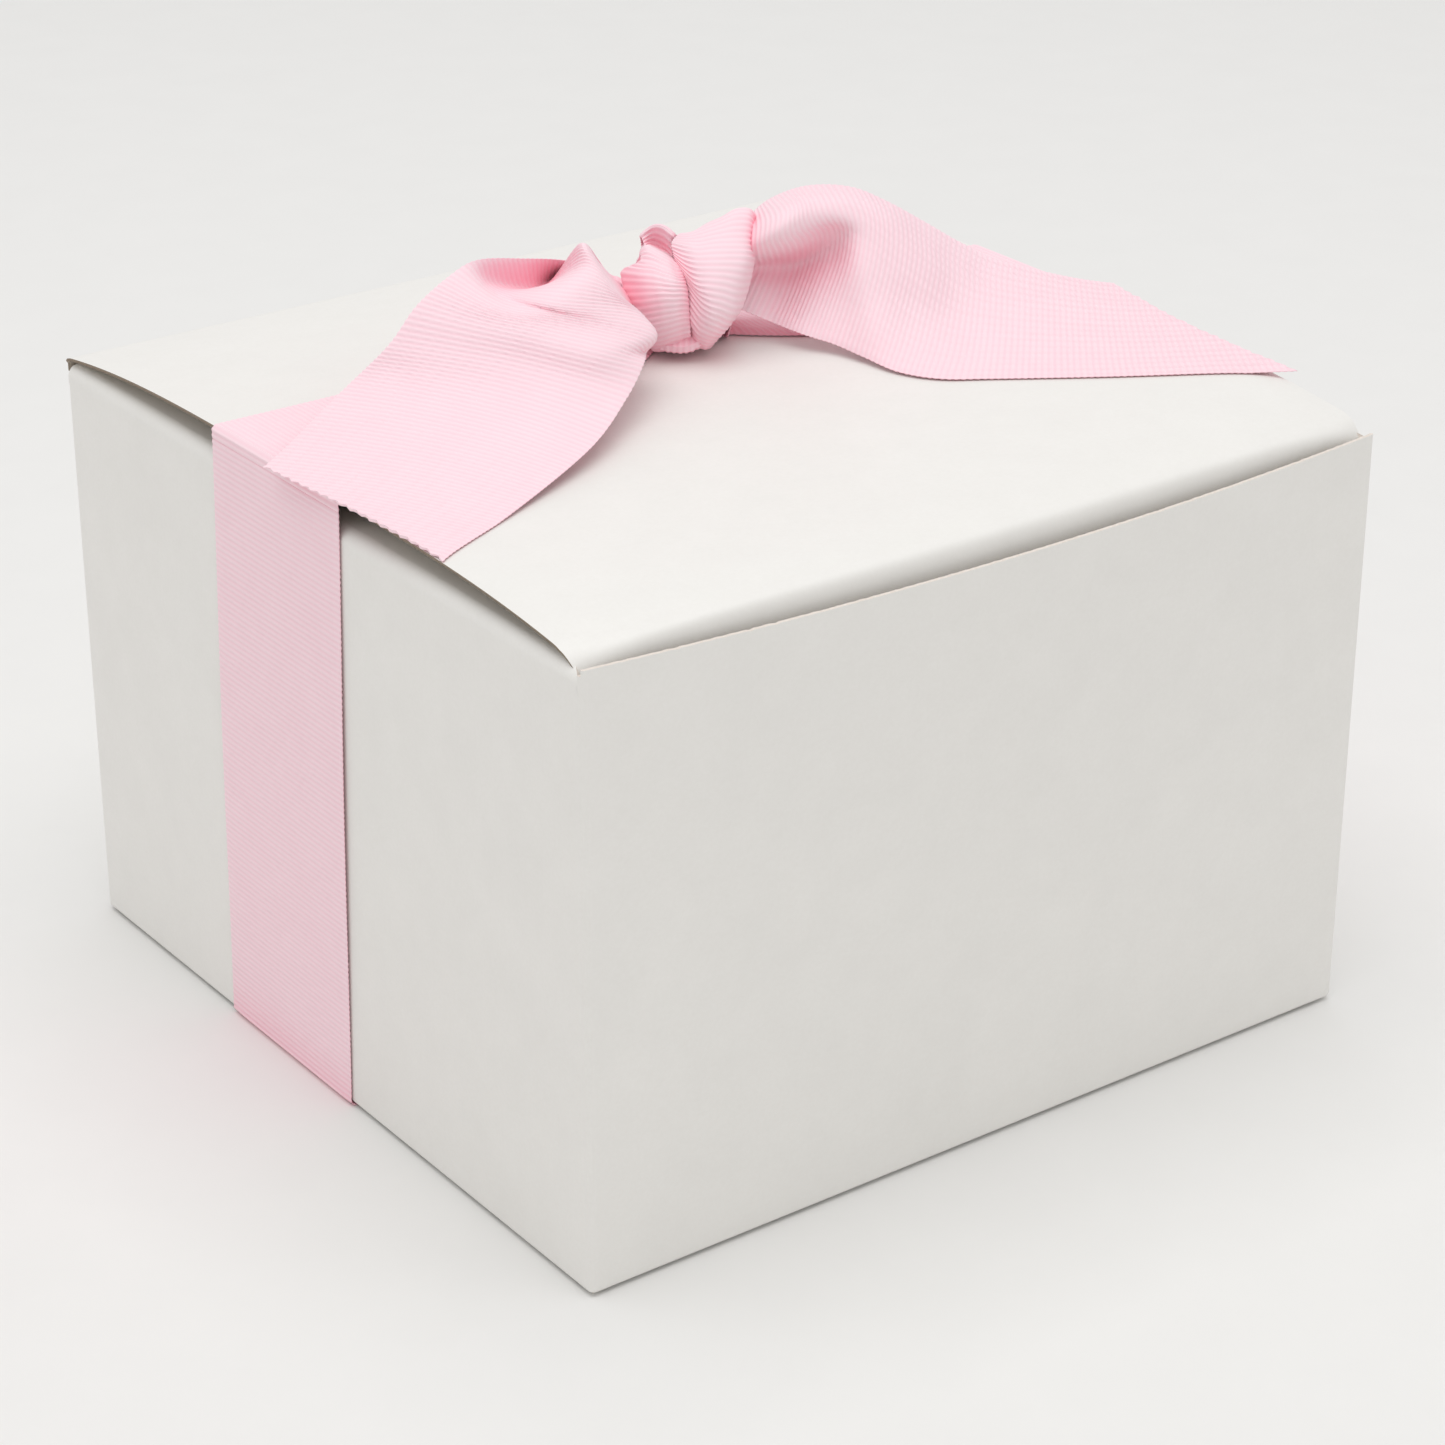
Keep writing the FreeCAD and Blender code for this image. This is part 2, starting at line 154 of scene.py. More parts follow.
def piece_of(name, points, quads, finishes, which, spread=None):
    """A mesh piece from points in mm, with a finish for each face and, for cloth, its weave in mm."""
    mesh = bpy.data.meshes.new(name)
    mesh.from_pydata((np.asarray(points) / 1000).tolist(), [], np.asarray(quads).tolist())
    for finish in finishes:
        mesh.materials.append(finish)
    mesh.polygons.foreach_set("material_index", np.asarray(which, dtype=np.int32))
    mesh.polygons.foreach_set("use_smooth", np.ones(len(quads), dtype=bool))
    if spread is not None:
        layer = mesh.uv_layers.new(name="weave_mm")
        corners = np.asarray(spread)[np.asarray(quads).ravel()]
        layer.data.foreach_set("uv", corners.astype(np.float32).ravel())
    mesh.set_sharp_from_angle(angle=math.radians(sharp_fold))
    mesh.validate()
    piece = bpy.data.objects.new(name, mesh)
    bpy.context.scene.collection.objects.link(piece)
    return piece


def faces_of(rows, columns, start=0):
    """The faces of a grid of points."""
    index = np.arange(rows * columns).reshape(rows, columns) + start
    return np.stack([index[:-1, :-1], index[:-1, 1:], index[1:, 1:], index[1:, :-1]], -1).reshape(-1, 4)


def rim_of(rows, columns):
    """The faces that join the rims of two such grids, one after the other."""
    index = np.arange(rows * columns).reshape(rows, columns)
    loop = np.concatenate([index[0, :], index[1:, -1], index[-1, -2::-1], index[-2:0:-1, 0]])
    after = np.roll(loop, -1)
    count = rows * columns
    return np.stack([loop, loop + count, after + count, after], -1)


def normals_of(grid):
    """The way each point of a grid faces."""
    along = np.gradient(grid, axis=0)
    across = np.gradient(grid, axis=1)
    normal = np.cross(across, along)
    size = np.linalg.norm(normal, axis=2, keepdims=True)
    return normal / np.maximum(size, 1e-9)


def folded_board(name, face, outward, thick=board, edge=cut_edge):
    """A sheet of board from a grid on its coated face: that face, its back and its cut edges."""
    rows, columns = face.shape[:2]
    normal = normals_of(face) * outward
    back = face - normal * thick
    points = np.concatenate([face.reshape(-1, 3), back.reshape(-1, 3)])
    front = faces_of(rows, columns)
    rear = faces_of(rows, columns, rows * columns)[:, ::-1]
    rim = rim_of(rows, columns)
    if outward < 0:
        front, rear, rim = front[:, ::-1], rear[:, ::-1], rim[:, ::-1]
    quads = np.concatenate([front, rear, rim])
    which = np.concatenate([np.zeros(len(front)), np.ones(len(rear)), np.full(len(rim), 2)])
    return piece_of(name, points, quads, [coated_board, board_back, edge], which)


def arc_points(centre, radius, start, stop, count):
    """Points along an arc, from one angle to another in degrees."""
    angles = np.radians(np.linspace(start, stop, count))
    return [(centre[0] + radius * math.cos(a), centre[1] + radius * math.sin(a)) for a in angles]


# The walk round the walls, seen from above: rear wall from its glued end, right, front, left, and
# round to where the seam tab starts.
inner = half - corner
seam_gap = 1.1              # mm from the corner to the rear panel's glued end
corner_slit = 0.04          # mm, the side panels stop this short of the front corners' rounding
walk = [(x, half, "rear") for x in np.linspace(-half + seam_gap, inner, 30)]
walk += [p + ("rear",) for p in arc_points((inner, inner), corner, 90, 45, 4)[1:]]
walk += [p + ("right",) for p in arc_points((inner, inner), corner, 45, 0, 4)[1:]]
walk += [(half, y, "right") for y in np.linspace(inner, -inner + corner_slit, 30)[1:]]
walk += [p + ("corner",) for p in arc_points((inner, -inner), corner, 0, -40, 4)]
walk += [p + ("front",) for p in arc_points((inner, -inner), corner, -41, -90, 6)]
walk += [(x, -half, "front") for x in np.linspace(inner, -inner, 241)[1:]]
walk += [p + ("front",) for p in arc_points((-inner, -inner), corner, -90, -139, 6)[1:]]
walk += [p + ("corner",) for p in arc_points((-inner, -inner), corner, -140, -180, 4)]
walk += [(-half, y, "left") for y in np.linspace(-inner + corner_slit, inner - board, 30)]
walk += [p + ("left",) for p in arc_points((-inner, inner - board), corner, 180, 90, 8)[1:]]

# Small nicks and a slight raggedness along the front panel's cut edge, by place across it in mm.
nicks = {-61.0: 0.10, -49.0: 0.16, -44.5: 0.12, -36.0: 0.14, 27.0: 0.13, 33.5: 0.11, 43.0: 0.15, 58.0: 0.08}
nick_wide = 0.32
ragged = ((0.025, 3.1, 0), (0.02, 7.7, 1))      # height in mm, and the rate and start of each ripple
low_part = 3.0              # mm, above this the levels spread out to end at each panel's own top
level_top = 102.4
levels = [0.0, 0.08, 0.25, 0.5, 0.75, corner] + list(np.linspace(low_part, 96, 18))
levels += [99.0, 100.6, 101.6, 102.0, level_top]
corner_top = 102.0
tops = {"rear": rear_joint, "right": side_joint, "front": wall_top, "left": side_joint, "corner": corner_top}
walls = np.zeros((len(levels), len(walk), 3))
for j, (x, y, panel) in enumerate(walk):
    top = tops[panel]
    if panel == "front":
        top += sum(high * math.sin(x * rate + start) for high, rate, start in ragged)
        top -= sum(deep * math.exp(-((x - at) / nick_wide) ** 2) for at, deep in nicks.items())
    for i, level in enumerate(levels):
        z = foot + level
        if level >= low_part:
            z = foot + low_part + (top - foot - low_part) * (level - low_part) / (level_top - low_part)
        tuck = 0.0 if level >= corner else corner - math.sqrt(corner ** 2 - (corner - level) ** 2)
        out = 0.0
        if panel == "front":
            out = bow * (z - foot) / (wall_top - foot) * max(0.0, 1 - (x / inner) ** 2)
        walls[i, j] = (x * (1 - tuck / half), y * (1 - tuck / half) - out, z)
wall_blank = folded_board("wall_blank", walls, outward=-1.0)
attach(wall_blank, "carton")
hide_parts("front_panel", "rear_panel", "left_panel", "right_panel")


# Seam tab and locking bottom: parts of the same blank. The tab is glued inside the rear wall; the
# four bottom flaps fold in and lock by a tongue in a slot. Coated below, bare board above.

# The same board seen on both faces: coated where it faces down, grey back where it faces up or inward.
two_sided_board, tree = finish_of("carton_board_coated_below")
place = add(tree, "ShaderNodeTexCoord")
facing = add(tree, "ShaderNodeNewGeometry")
split = add(tree, "ShaderNodeSeparateXYZ", {"Vector": facing.outputs["True Normal"]})
below = add(tree, "ShaderNodeMath", {0: split.outputs["Z"], 1: -0.5}, operation="LESS_THAN")
fleck = add(tree, "ShaderNodeTexNoise", {"Vector": place.outputs["Object"], "Scale": 1000 / 1.1,
            "Detail": 6.0, "Roughness": 0.7})
spot = add(tree, "ShaderNodeMapRange", {"Value": fleck.outputs["Fac"], "From Min": 0.5, "From Max": 0.75,
           "To Min": 0.0, "To Max": 0.6})
grey = add(tree, "ShaderNodeMix", {"Factor": spot.outputs["Result"], "A": linear("#C5BBAE"),
           "B": linear("#8E8273")}, data_type="RGBA")
white = add(tree, "ShaderNodeMix", {"Factor": fleck.outputs["Fac"], "A": linear("#F1EFEB"),
            "B": linear("#E8E5E0")}, data_type="RGBA")
colour = add(tree, "ShaderNodeMix", {"Factor": below.outputs["Value"], "A": grey.outputs["Result"],
             "B": white.outputs["Result"]}, data_type="RGBA")
gloss = add(tree, "ShaderNodeMapRange", {"Value": below.outputs["Value"], "To Min": 0.88, "To Max": 0.46})
grain = add(tree, "ShaderNodeBump", {"Height": fleck.outputs["Fac"], "Strength": 0.3, "Distance": 0.00004})
skin = add(tree, "ShaderNodeBsdfPrincipled", {"Base Color": colour.outputs["Result"],
           "Roughness": gloss.outputs["Result"], "IOR": 1.48, "Normal": grain.outputs["Normal"]})
add(tree, "ShaderNodeOutputMaterial", {"Surface": skin.outputs["BSDF"]})
for flap in ("bottom_rear_flap", "bottom_left_flap", "bottom_right_flap", "bottom_front_flap"):
    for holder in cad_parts[flap].material_slots:
        holder.material = two_sided_board
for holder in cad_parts["glue_tab"].material_slots:
    holder.material = board_back


# Dust flaps: the side walls' upper flaps, folded in under the lid on a soft pressed crease. Cut back
# at the front corner and slanted at the rear so that they lift clear as the lid opens.
flap_top = 102.7            # mm, coated face of the folded flap
flap_reach = 55.0           # mm from the wall to its free edge
fold = 2.2                  # outer radius of the soft crease
fold_end = 1.6              # mm in from the wall at which the flap's ends start to slant
flap_round = 6              # radius of its free corners
front_relief, front_step, front_slant = 2.2, 3.0, 0.12  # mm cut back on the fold and past it, and the slant
rear_gap, rear_step, rear_slant = 0.2, 2.6, 0.6         # the same at the rear
for side, body, node in ((-1, "left_dust", "left_dust_flap"), (1, "right_dust", "right_dust_flap")):
    # place out from the carton's middle and height, in mm: up the wall, over the fold and inward
    path = [(half, z) for z in (side_joint, 99.8, 100.2)]
    path += arc_points((half - fold, flap_top - fold), fold, 0, 90, 14)
    path += [(half - d, flap_top) for d in (3.0, 4.0, 5.0, 6.5, 9, 14, 20, 28, 36, 44, 50, 53, flap_reach)]
    rows = []
    for out, z in path:
        depth = half - out
        ease = min(1.0, max(0.0, (depth - fold_end) / 4.0))
        ease = ease * ease * (3 - 2 * ease)
        relief = min(1.0, max(0.0, (depth - 0.15) / 1.2))
        front = -inner + front_relief * relief + front_step * ease + front_slant * max(0.0, depth - fold_end)
        rear = inner - rear_gap - rear_step * ease - rear_slant * max(0.0, depth - 1)
        if depth > flap_reach - flap_round:
            curl = flap_round - math.sqrt(max(0.0, flap_round ** 2 - (depth - flap_reach + flap_round) ** 2))
            front += curl
            rear -= curl
        rows.append([(side * out, y, z) for y in np.linspace(front, rear, 40)])
    dust = folded_board(node + "_board", np.array(rows), outward=side)
    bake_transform(dust)
    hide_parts(node)


# Rear crease: the strip of board where the rear wall turns over into the lid, scored and pressed so
# that it bends as the lid's hinge.
lid_half = 75.9             # mm, the lid is cut slightly narrower than the box
hinge_z = 103.4             # mm, the hinge's height
crown = 3.6                 # mm that the lid's middle stands above it
crown_y, crown_reach = 0.55, 75.35      # mm, the crown's middle, and from there to either end
fall = 3.5                  # power of the curve by which it falls away
front_fall = 30.0           # added to that power at the middle of the front


def lid_face(y, x=lid_half):
    """Height of the lid's coated face: a plateau that falls away in the last part before each end.
    Toward the middle of the front it stays up further, because the tuck flap holds it there."""
    t = min(1.0, abs((y - crown_y) / crown_reach))
    steep = fall + (front_fall * max(0.0, 1 - (x / lid_half) ** 2) if y < crown_y else 0.0)
    return hinge_z + board / 2 + crown * (1 - t ** steep)


lid_start = 73.0            # mm, y at which the crease's strip ends and the lid begins
crease_bend = 1.15          # mm, outer radius of the pressed bend
crease_notch = 0.35         # mm cut in at each end, below the lid
pressed = 0.5               # mm, the board here and in the lid, drawn a little thinner than in the walls
crease = [(half, z) for z in (rear_joint, 101.6, 102.0, 102.4)]
crease += arc_points((half - crease_bend, 102.55), crease_bend, 8, 82, 10)
crease += [(y, lid_face(y)) for y in (74.4, 73.7, lid_start)]
rows = []
for y, z in crease:
    reach = lid_half - (crease_notch if z < 103 else 0)
    rows.append([(x, y, z) for x in np.linspace(-reach, reach, 40)])
rear_crease = folded_board("rear_crease_board", np.array(rows), outward=-1.0, thick=pressed, edge=grey_core_and_shade_edge)
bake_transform(rear_crease)


# Lid and tuck flap: one panel, crowned by its own spring, that rolls over softly at the front and
# goes down behind the front panel as the tuck flap. The roll follows the front panel's bow.
tuck_crease = (-74.572, 98.765)     # y and z, mm, middle of the board
tuck_depth = 22.0           # mm from the crease to its free edge
lean = math.radians(14)     # it leans inward
down = np.array([math.sin(lean), -math.cos(lean)])
tuck_round = 7              # mm, radius of its free corners
p3 = np.array(tuck_crease) - np.array([math.cos(lean), math.sin(lean)]) * board / 2
roll_start = -69.0
roll_on = (3.6, 1.9)        # mm the lid's slope runs on into the roll: at the sides, and more in the middle
roll_up = (2.2, 6.3)        # mm the tuck flap's line runs up into it, likewise
roll_back = 0.9             # mm it leans back there in the middle
bow_share = 0.85            # of the front panel's bow, which the roll follows
bow_start, bow_build = -40, 31.0        # mm, where the lid begins to follow, and how soon it does in full
roll_inset, tuck_inset, tuck_taper = 1.5, 1.0, 3.4      # mm off each side: by the roll, below it, and on down
score_y, score_wide, score_deep = -70.6, 0.35, 0.07     # mm, a score pressed across the roll
flat = np.concatenate([np.linspace(lid_start, 40, 14), np.linspace(36, -36, 16),
                       np.linspace(-40, roll_start, 14)])
hang = (1.0, 2.0, 3.5, 6, 9, 12, 15, 17, 19, 20.4, 21.3, 21.8, tuck_depth)
turns = np.linspace(0, 1, 26)[1:]
rolled = len(flat) + len(turns)
shares = np.sin(np.linspace(-math.pi / 2, math.pi / 2, 121)) * 0.25 + np.linspace(-1, 1, 121) * 0.75
lid = np.zeros((rolled + len(hang), len(shares), 3))
for j, share in enumerate(shares):
    x = share * lid_half
    line = [(y, lid_face(y, x)) for y in flat]
    # the roll, from the lid's slope into the line of the tuck flap
    p0 = np.array(line[-1])
    slope = np.array([-1.0, lid_face(roll_start - 0.5, x) - lid_face(roll_start + 0.5, x)])
    slope /= np.linalg.norm(slope)
    free = 1 - share ** 10
    p1 = p0 + slope * (roll_on[0] + roll_on[1] * free)
    p2 = p3 + np.array([roll_back * free, roll_up[0] + roll_up[1] * free])
    line += [tuple(p0 * (1 - t) ** 3 + 3 * p1 * t * (1 - t) ** 2 + 3 * p2 * t * t * (1 - t) + p3 * t ** 3)
             for t in turns]
    line += [tuple(p3 + down * d) for d in hang]
    for i, (y, z) in enumerate(line):
        below = max(0.0, (p3[1] - z) / math.cos(lean)) if i >= rolled else 0.0
        reach = lid_half
        if i >= len(flat):
            reach -= (roll_inset * min(1.0, (i - len(flat)) / len(turns)) ** 1.5
                      + tuck_inset * min(1.0, below / 3) + tuck_taper * below / tuck_depth)
            if below > tuck_depth - tuck_round:
                past = below - tuck_depth + tuck_round
                reach -= tuck_round - math.sqrt(max(0.0, tuck_round ** 2 - past ** 2))
        follow = min(1.0, max(0.0, (bow_start - y) / bow_build)) if i < rolled else 1.0
        push = bow_share * bow * (z - foot) / (wall_top - foot) * follow * follow * (3 - 2 * follow)
        score = score_deep * math.exp(-((y - score_y) / score_wide) ** 2) if i < len(flat) + 12 else 0.0
        lid[i, j] = (reach * share, y - push * max(0.0, 1 - (x / inner) ** 2), z - score)
lid_board = folded_board("lid_board", lid, outward=-1.0, thick=pressed, edge=grey_core_and_shade_edge)
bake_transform(lid_board)
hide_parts("lid_panel", "tuck_flap")


# Ribbon round the box: one length of pink grosgrain, an inch and a half wide, drawn up both sides
# from underneath. Grosgrain is woven with thick crosswise weft, so it has a rib about every millimetre.
ribbon_width = 38.0
rib = 1.0                   # mm from rib to rib
rib_height = 0.17
ribbon_thick = 0.34
tooth = 2.1                 # mm between the teeth of a pinked end
bite = 0.6                  # mm, their depth
selvedge = 0.35             # share of the ribbon's thickness left at its firm edges
scallop_deep = 0.12         # mm that each rib stands out at the edge

# Polyester grosgrain, dyed pale pink: ribs catch a soft sheen, the valleys between them are painted a deeper
# pink as painted shade, and fine lengthwise warp threads cross the ribs.
grosgrain, tree = finish_of("polyester_grosgrain_pale_pink")
weave = add(tree, "ShaderNodeUVMap", uv_map="weave_mm")
lay = add(tree, "ShaderNodeSeparateXYZ", {"Vector": weave.outputs["UV"]})
place = add(tree, "ShaderNodeTexCoord")
turn = add(tree, "ShaderNodeMath", {0: lay.outputs["Y"], 1: math.pi / rib}, operation="MULTIPLY")
wave = add(tree, "ShaderNodeMath", {0: turn.outputs["Value"]}, operation="SINE")
ridge = add(tree, "ShaderNodeMath", {0: wave.outputs["Value"], 1: 2.0}, operation="POWER")
# painted shade: the rib valleys are coloured a deeper pink, standing in for the shade that falls between the
# ribs
painted_valley_shade = add(tree, "ShaderNodeMapRange", {"Value": ridge.outputs["Value"], "From Min": 0.0, "From Max": 0.8,
             "To Min": 0.22, "To Max": 0.0})
# warp threads are about 0.2 mm apart in life; drawn at 0.35 mm so that they show
warp_gap = 0.35
thread = add(tree, "ShaderNodeMath", {0: lay.outputs["X"], 1: 2 * math.pi / warp_gap}, operation="MULTIPLY")
warp = add(tree, "ShaderNodeMath", {0: thread.outputs["Value"]}, operation="SINE")
dye = add(tree, "ShaderNodeTexNoise", {"Vector": place.outputs["Object"], "Scale": 1000 / 6, "Detail": 3.0})
pale = add(tree, "ShaderNodeMix", {"Factor": dye.outputs["Fac"], "A": linear("#FDE2E9"),
           "B": linear("#FBDCE4")}, data_type="RGBA")
ribbed = add(tree, "ShaderNodeMix", {"Factor": painted_valley_shade.outputs["Result"], "A": pale.outputs["Result"],
             "B": linear("#F8BCCB")}, data_type="RGBA")
# painted shade: where ambient occlusion finds the ribbon sheltered in folds and under the knot, its colour
# turns a redder pink, standing in for light that passes through and bounces between layers of dyed cloth
painted_fold_shade_ao = add(tree, "ShaderNodeAmbientOcclusion", {"Distance": 0.012}, samples=8)
depth = add(tree, "ShaderNodeMapRange", {"Value": painted_fold_shade_ao.outputs["AO"], "From Min": 0.15, "From Max": 0.9,
            "To Min": 0.48, "To Max": 0.0})
# painted shade: the redder fold colour, mixed in by the occlusion share above
colour = add(tree, "ShaderNodeMix", {"Factor": depth.outputs["Result"], "A": ribbed.outputs["Result"],
             "B": linear("#FF93AB")}, data_type="RGBA")
height = add(tree, "ShaderNodeMath", {0: warp.outputs["Value"], 1: ridge.outputs["Value"]},
             operation="MULTIPLY")
grain = add(tree, "ShaderNodeBump", {"Height": height.outputs["Value"], "Strength": 0.25,
            "Distance": 0.00002})
rough = add(tree, "ShaderNodeMapRange", {"Value": ridge.outputs["Value"], "To Min": 0.8, "To Max": 0.55})
skin = add(tree, "ShaderNodeBsdfPrincipled", {"Base Color": colour.outputs["Result"],
           "Roughness": rough.outputs["Result"], "IOR": 1.5, "Specular IOR Level": 0.3,
           "Sheen Weight": 0.10, "Sheen Roughness": 0.4, "Normal": grain.outputs["Normal"]})
add(tree, "ShaderNodeOutputMaterial", {"Surface": skin.outputs["BSDF"]})


def along_curve(points, t):
    """Catmull-Rom through points (first axis), at the places t."""
    points = np.asarray(points, float)
    padded = np.concatenate([2 * points[:1] - points[1:2], points, 2 * points[-1:] - points[-2:-1]])
    i = np.clip(np.floor(t).astype(int), 0, len(points) - 2)
    f = (t - i).reshape((-1,) + (1,) * (points.ndim - 1))
    a, b, c, d = padded[i], padded[i + 1], padded[i + 2], padded[i + 3]
    return 0.5 * (2 * b + (c - a) * f + (2 * a - 5 * b + 4 * c - d) * f * f
                  + (3 * b - a - 3 * c + d) * f ** 3)


def loft(stations, steps=40):
    """A dense surface through stations, each a row of points across the ribbon."""
    stations = np.asarray(stations, float)
    t = np.linspace(0, len(stations) - 1, (len(stations) - 1) * steps + 1)
    return along_curve(stations, t)


def even_across(rows, columns):
    """Each row resampled to even spacing across the ribbon."""
    k = rows.shape[1]
    fine = np.swapaxes(along_curve(np.swapaxes(rows, 0, 1), np.linspace(0, k - 1, 121)), 0, 1)
    out = np.zeros((len(rows), columns, 3))
    for i, line in enumerate(fine):
        d = np.r_[0, np.cumsum(np.linalg.norm(np.diff(line, axis=0), axis=1))]
        for c in range(3):
            out[i, :, c] = np.interp(np.linspace(0, d[-1], columns), d, line[:, c])
    return out


def grosgrain_strip(name, rows, columns, cut=None, flip=1.0):
    """A ribbon on a dense surface: ribs on both faces, firm selvedges and, where cut gives the rows
    at which its two selvedges stop, a slanted end with pinked teeth. Also gives its length in mm."""
    surface = even_across(np.asarray(rows, float), columns)
    length = np.r_[0, np.cumsum(np.linalg.norm(np.diff(surface, axis=0), axis=2).mean(axis=1))]
    across = np.linspace(0, 1, columns)
    last = np.full(columns, length[-1])
    if cut is not None:
        far, near = length[cut[0]], length[cut[1]]
        teeth = np.abs((across * ribbon_width / tooth) % 1.0 - 0.5) * 2 - 0.5
        last = far + (near - far) * across + bite * teeth
    count = int(math.ceil(last.max() / (rib / 4))) + 1
    run = np.linspace(0, 1, count)[:, None] * last[None, :]
    grid = np.zeros((count, columns, 3))
    for j in range(columns):
        for axis in range(3):
            grid[:, j, axis] = np.interp(run[:, j], length, surface[:, j, axis])
    normal = normals_of(grid) * flip
    ridge = np.sin(math.pi * run / rib) ** 2
    lift = rib_height * (ridge - 0.5)
    edge = np.minimum(np.arange(columns), np.arange(columns)[::-1])
    firm = np.where(edge == 0, selvedge, 1.0)[None, :]
    half_thick = (ribbon_thick / 2 + lift) * firm
    side_step = np.gradient(grid, axis=1)
    side_step /= np.maximum(np.linalg.norm(side_step, axis=2, keepdims=True), 1e-9)
    scallop = np.zeros((count, columns))
    scallop[:, 0], scallop[:, -1] = -scallop_deep * ridge[:, 0], scallop_deep * ridge[:, -1]
    grid = grid + side_step * scallop[:, :, None]
    top = grid + normal * half_thick[:, :, None]
    low = grid - normal * half_thick[:, :, None]
    points = np.concatenate([top.reshape(-1, 3), low.reshape(-1, 3)])
    front = faces_of(count, columns)
    back = faces_of(count, columns, count * columns)[:, ::-1]
    rim = rim_of(count, columns)
    if flip < 0:
        front, back, rim = front[:, ::-1], back[:, ::-1], rim[:, ::-1]
    quads = np.concatenate([front, back, rim])
    spread = np.stack([np.broadcast_to(across * ribbon_width, (count, columns)), run], -1).reshape(-1, 2)
    spread = np.concatenate([spread, spread])
    piece = piece_of(name, points, quads, [grosgrain], np.zeros(len(quads)), spread)
    return piece, float(np.mean(last))


lip = 2.1                   # mm below the lid's face at which the ribbon on the sides stops
ribbon_lift = 0.3           # mm from the lid's face to the middle of the ribbon's thickness
ribbon_out = half + 0.34    # the same on the side walls
under = 0.27                # the same under the carton, above the floor
slack = 0.25                # mm that it stands off each side, half way up
seam = lid_face(0) + ribbon_lift - lip - 0.04
turn_r = 0.85               # mm, radius of its turn at the bottom edges
turn_top = 3                # mm, where it is clear of that turn
tall, across_box = 105, 153         # mm that it runs up each side and under the box
left_foot, left_lean = 11.0, 4.8    # mm, its middle at the foot of the left side, and its lean forward
right_foot, right_lean = 9.5, 4.5
right_draw = 0.8            # mm that each edge is drawn in at the top of the right side
bend_from = 90              # mm up, from where its top follows the lid's crown
walk = []
for z in np.linspace(seam, turn_top, 60):
    walk.append((-ribbon_out - slack * math.sin(math.pi * (z - turn_top) / (seam - turn_top)) ** 2, z))
walk += arc_points((-ribbon_out + turn_r, under + turn_r), turn_r, 180, 270, 9)
walk += [(x, under) for x in np.linspace(-ribbon_out + turn_r, ribbon_out - turn_r, 60)[1:-1]]
walk += arc_points((ribbon_out - turn_r, under + turn_r), turn_r, -90, 0, 9)
for z in np.linspace(turn_top, seam, 60):
    walk.append((ribbon_out + slack * math.sin(math.pi * (z - turn_top) / (seam - turn_top)) ** 2, z))
rows = []
for x, z in walk:
    left = x < 0
    middle = (left_foot - left_lean * z / tall) if left else (right_foot - right_lean * z / tall)
    if z < 2:
        middle = left_foot - (left_foot - right_foot) * (x + across_box / 2) / across_box
    wide = ribbon_width / 2 - (0.0 if left else right_draw * z / tall)
    bend = max(0.0, (z - bend_from) / (seam - bend_from))
    row = []
    for k in (1, 0.5, 0, -0.5, -1):
        y = middle + wide * k
        row.append((x, y, z + (lid_face(y) - lid_face(middle)) * bend))
    rows.append(row)
round_box, size = grosgrain_strip("ribbon_round_box", rows, columns=17, flip=-1.0)
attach(round_box, "carton")
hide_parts("ribbon_bottom_span", "ribbon_left_span", "ribbon_right_span")


# Ribbon over the lid: the same ribbon turned over the lid's side edges and drawn in along its width
# to the knot, so that it lies flat at the edge and pleats up beside the knot.
def on_lid(rows):
    """Rows of ribbon, kept just clear of the lid where they come down on it."""
    rows = np.array(rows)
    for row in rows:
        for point in row:
            point[2] = max(point[2], lid_face(point[1], min(lid_half, abs(point[0]))) + ribbon_lift)
    return rows


